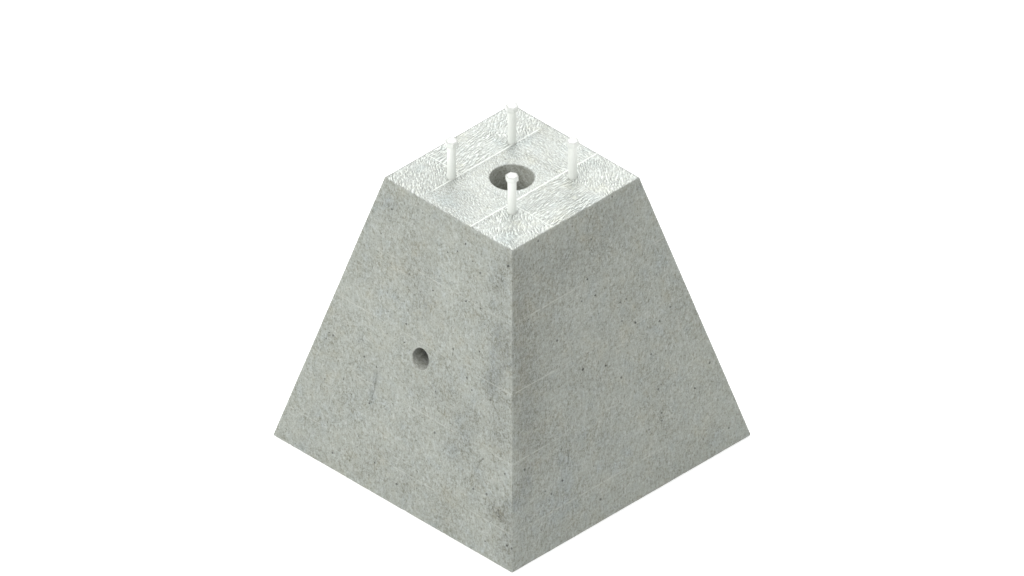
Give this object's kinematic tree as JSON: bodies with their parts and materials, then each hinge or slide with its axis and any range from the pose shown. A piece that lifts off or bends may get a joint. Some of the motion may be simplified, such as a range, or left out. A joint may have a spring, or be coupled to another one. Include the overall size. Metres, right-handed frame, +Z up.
{
  "type": "column base block",
  "caption": "Tapered square concrete base block for a post or lighting column, with an upright cable duct, a side cable entry and cast-in hexagon-headed anchor bolts.",
  "frame": {"origin": "middle of the square underside, on the ground", "axes": "+Z up along the upright duct, through the top; -Y is the side whose sloping face has the side duct, and the bolts stand on a square along X and Y"},
  "size_m": [0.75, 0.75, 0.8],
  "materials": {
    "concrete": "matte",
    "white_steel": "satin"
  },
  "bodies": {
    "root": {"concrete_block": "concrete", "anchor_bolt_front_left": "white_steel", "anchor_bolt_front_right": "white_steel", "anchor_bolt_back_left": "white_steel", "anchor_bolt_back_right": "white_steel"}
  },
  "joints": []
}
